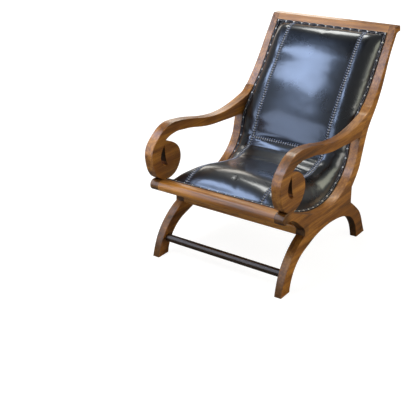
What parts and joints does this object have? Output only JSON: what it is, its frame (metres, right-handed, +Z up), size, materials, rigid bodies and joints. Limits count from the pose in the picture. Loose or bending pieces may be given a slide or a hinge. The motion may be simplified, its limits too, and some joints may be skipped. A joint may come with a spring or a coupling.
{
  "type": "planters chair",
  "caption": "Reclining planters chair with scrolled arms, arched legs and one long leather pad nailed between shaped hardwood sides.",
  "frame": {"origin": "centre of the chair's footprint box, on the floor", "axes": "+Z up, the chair faces -Y, +X to the sitter's left"},
  "size_m": [0.64, 1.03, 0.907],
  "materials": {
    "hardwood": "reddish-brown stained hardwood, polished",
    "plain_timber": "unstained beech",
    "steel": "zinc-plated steel",
    "webbing": "woven jute webbing",
    "hessian": "plain hessian",
    "foam": "upholstery foam",
    "leather": "black leather, glossy",
    "gimp": "black corded gimp",
    "nail_metal": "bright plated domes"
  },
  "bodies": {
    "root": {"left_back_post": "hardwood", "right_back_post": "hardwood", "left_seat_rail": "hardwood", "right_seat_rail": "hardwood", "left_front_leg": "hardwood", "right_front_leg": "hardwood", "left_rear_leg": "hardwood", "right_rear_leg": "hardwood", "left_arm": "hardwood", "right_arm": "hardwood", "crest_rail": "hardwood", "front_seat_rail": "hardwood", "lower_front_rail": "hardwood", "rear_seat_rail": "hardwood", "front_stretcher": "hardwood", "left_seat_cleat": "plain_timber", "right_seat_cleat": "plain_timber", "left_back_cleat": "plain_timber", "right_back_cleat": "plain_timber", "leg_dowels": "plain_timber", "post_dowels": "plain_timber", "rail_dowels": "plain_timber", "arm_dowels": "plain_timber", "cleat_screws": "steel", "cross_webbing": "webbing", "hessian_lining": "hessian", "back_foam": "foam", "seat_foam": "foam", "back_centre_leather": "leather", "seat_centre_leather": "leather", "left_side_leather": "leather", "right_side_leather": "leather", "left_gimp": "gimp", "right_gimp": "gimp", "top_gimp": "gimp", "front_gimp": "gimp", "upholstery_nails": "nail_metal"}
  },
  "joints": []
}
